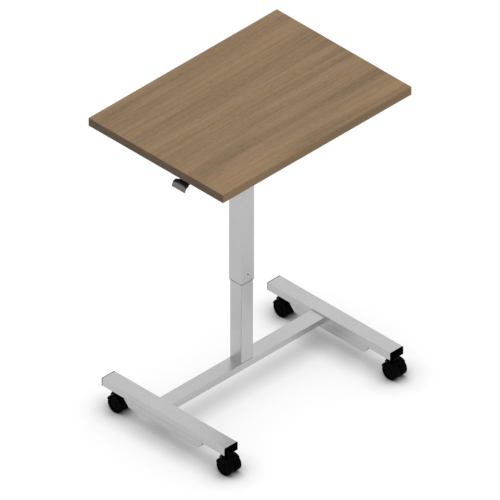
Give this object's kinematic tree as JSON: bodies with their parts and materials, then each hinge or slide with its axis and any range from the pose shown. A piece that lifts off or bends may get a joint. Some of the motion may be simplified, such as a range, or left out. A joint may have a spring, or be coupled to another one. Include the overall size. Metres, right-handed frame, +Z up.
{
  "type": "height adjustable personal table",
  "caption": "Mobile personal table: rectangular wood-grain top on a telescopic square column, H-shaped steel base on hooded twin-wheel casters, paddle lever that frees the gas spring.",
  "frame": {"origin": "on the floor, below the middle of the outer box of the table with its column raised as in the picture", "axes": "+X along the long side of the top towards the user's right, +Y away from the user towards the back edge, +Z up"},
  "size_m": [0.7112, 0.512, 0.9335],
  "materials": {
    "wood_laminate": "matt walnut-tone wood-grain laminate, grain along the long side",
    "wood_edge": "matching wood-grain edge band",
    "backer_laminate": "plain matt backing laminate",
    "chipboard": "raw particle board",
    "silver_paint": "metallic silver coat with soft reflections",
    "black_paint": "satin black powder coat",
    "zinc_steel": "bright zinc plate",
    "hard_chrome": "ground and hard chromed",
    "satin_metal": "satin grey metal",
    "handle_plastic": "fine grained charcoal plastic",
    "cap_plastic": "matt black plastic",
    "caster_plastic": "matt black nylon",
    "wheel_plastic": "black nylon, faintly worn tread",
    "glide_plastic": "dark grey slide plastic",
    "bush_plastic": "natural nylon"
  },
  "bodies": {
    "base": {"foot_tube_left": "silver_paint", "foot_tube_right": "silver_paint", "foot_skirt_left": "silver_paint", "foot_skirt_right": "silver_paint", "cross_tube": "silver_paint", "end_cap_front_left": "cap_plastic", "end_cap_front_right": "cap_plastic", "end_cap_rear_left": "cap_plastic", "end_cap_rear_right": "cap_plastic", "caster_sockets": "zinc_steel", "caster_stems": "black_paint", "inner_column": "silver_paint", "column_base_plate": "zinc_steel", "upper_glide": "glide_plastic", "gas_cylinder": "black_paint", "gas_spring_nut": "zinc_steel"},
    "lift": {"outer_column": "silver_paint", "lower_glide": "glide_plastic", "glide_screw": "black_paint", "rod_bridge": "zinc_steel", "gas_rod": "hard_chrome", "rod_nut": "zinc_steel", "top_support_plate": "silver_paint", "worktop_core": "chipboard", "worktop_laminate": "wood_laminate", "worktop_backer": "backer_laminate", "edge_band": "wood_edge", "worktop_screws": "zinc_steel", "shaft_hanger": "silver_paint", "shaft_bushes": "bush_plastic", "lever_bracket": "black_paint", "lever_screws": "zinc_steel", "lever_pivot_pin": "zinc_steel"},
    "lever": {"lever_handle": "handle_plastic", "lever_lip": "satin_metal"},
    "release_rod": {"release_rod": "zinc_steel", "rod_clips": "zinc_steel"},
    "release_shaft": {"release_shaft": "zinc_steel", "release_crank": "black_paint", "release_finger": "zinc_steel", "shaft_clip": "zinc_steel"},
    "valve_pin": {"release_pin": "hard_chrome"},
    "caster_front_left": {"caster_hood_front_left": "caster_plastic", "caster_axle_front_left": "zinc_steel"},
    "caster_front_right": {"caster_hood_front_right": "caster_plastic", "caster_axle_front_right": "zinc_steel"},
    "caster_rear_left": {"caster_hood_rear_left": "caster_plastic", "caster_axle_rear_left": "zinc_steel"},
    "caster_rear_right": {"caster_hood_rear_right": "caster_plastic", "caster_axle_rear_right": "zinc_steel"},
    "wheel_left_front_left": {"wheel_left_front_left": "wheel_plastic"},
    "wheel_right_front_left": {"wheel_right_front_left": "wheel_plastic"},
    "wheel_left_front_right": {"wheel_left_front_right": "wheel_plastic"},
    "wheel_right_front_right": {"wheel_right_front_right": "wheel_plastic"},
    "wheel_left_rear_left": {"wheel_left_rear_left": "wheel_plastic"},
    "wheel_right_rear_left": {"wheel_right_rear_left": "wheel_plastic"},
    "wheel_left_rear_right": {"wheel_left_rear_right": "wheel_plastic"},
    "wheel_right_rear_right": {"wheel_right_rear_right": "wheel_plastic"}
  },
  "joints": [
    {"name": "column_lift", "type": "slide", "parent": "base", "child": "lift", "axis": [0, 0, 1], "range_m": [-0.2335, 0.1165]},
    {"name": "lever_lift", "type": "hinge", "parent": "lift", "child": "lever", "pos_m": [-0.31, -0.08153, 0.8851], "axis": [0, 1, 0], "range_deg": [0, 12], "stiffness_Nm_per_rad": 8, "springref_deg": -11.46},
    {"name": "release_rod_slide", "type": "slide", "parent": "lift", "child": "release_rod", "axis": [1, 0, 0], "range_m": [-0.003, 0]},
    {"name": "release_shaft_turn", "type": "hinge", "parent": "lift", "child": "release_shaft", "pos_m": [-0.014, 0.03377, 0.8851], "axis": [0, 1, 0], "range_deg": [0, 12]},
    {"name": "valve_pin_slide", "type": "slide", "parent": "lift", "child": "valve_pin", "axis": [0, 0, 1], "range_m": [-0.003, 0]},
    {"name": "swivel_front_left", "type": "hinge", "parent": "base", "child": "caster_front_left", "pos_m": [-0.31225, -0.21257, 0.056], "axis": [0, 0, 1], "continuous": true},
    {"name": "swivel_front_right", "type": "hinge", "parent": "base", "child": "caster_front_right", "pos_m": [0.31225, -0.21257, 0.056], "axis": [0, 0, 1], "continuous": true},
    {"name": "swivel_rear_left", "type": "hinge", "parent": "base", "child": "caster_rear_left", "pos_m": [-0.31225, 0.19742, 0.056], "axis": [0, 0, 1], "continuous": true},
    {"name": "swivel_rear_right", "type": "hinge", "parent": "base", "child": "caster_rear_right", "pos_m": [0.31225, 0.19742, 0.056], "axis": [0, 0, 1], "continuous": true},
    {"name": "roll_left_front_left", "type": "hinge", "parent": "caster_front_left", "child": "wheel_left_front_left", "pos_m": [-0.31225, -0.23098, 0.025], "axis": [1, 0, 0], "continuous": true},
    {"name": "roll_right_front_left", "type": "hinge", "parent": "caster_front_left", "child": "wheel_right_front_left", "pos_m": [-0.31225, -0.23098, 0.025], "axis": [1, 0, 0], "continuous": true},
    {"name": "roll_left_front_right", "type": "hinge", "parent": "caster_front_right", "child": "wheel_left_front_right", "pos_m": [0.31225, -0.23098, 0.025], "axis": [1, 0, 0], "continuous": true},
    {"name": "roll_right_front_right", "type": "hinge", "parent": "caster_front_right", "child": "wheel_right_front_right", "pos_m": [0.31225, -0.23098, 0.025], "axis": [1, 0, 0], "continuous": true},
    {"name": "roll_left_rear_left", "type": "hinge", "parent": "caster_rear_left", "child": "wheel_left_rear_left", "pos_m": [-0.31225, 0.17902, 0.025], "axis": [1, 0, 0], "continuous": true},
    {"name": "roll_right_rear_left", "type": "hinge", "parent": "caster_rear_left", "child": "wheel_right_rear_left", "pos_m": [-0.31225, 0.17902, 0.025], "axis": [1, 0, 0], "continuous": true},
    {"name": "roll_left_rear_right", "type": "hinge", "parent": "caster_rear_right", "child": "wheel_left_rear_right", "pos_m": [0.31225, 0.17902, 0.025], "axis": [1, 0, 0], "continuous": true},
    {"name": "roll_right_rear_right", "type": "hinge", "parent": "caster_rear_right", "child": "wheel_right_rear_right", "pos_m": [0.31225, 0.17902, 0.025], "axis": [1, 0, 0], "continuous": true}
  ],
  "couplings": [
    {"joint": "release_rod_slide", "follows": "lever_lift", "m_per_rad": -0.014},
    {"joint": "release_shaft_turn", "follows": "lever_lift", "ratio": 1},
    {"joint": "valve_pin_slide", "follows": "lever_lift", "m_per_rad": -0.014}
  ]
}
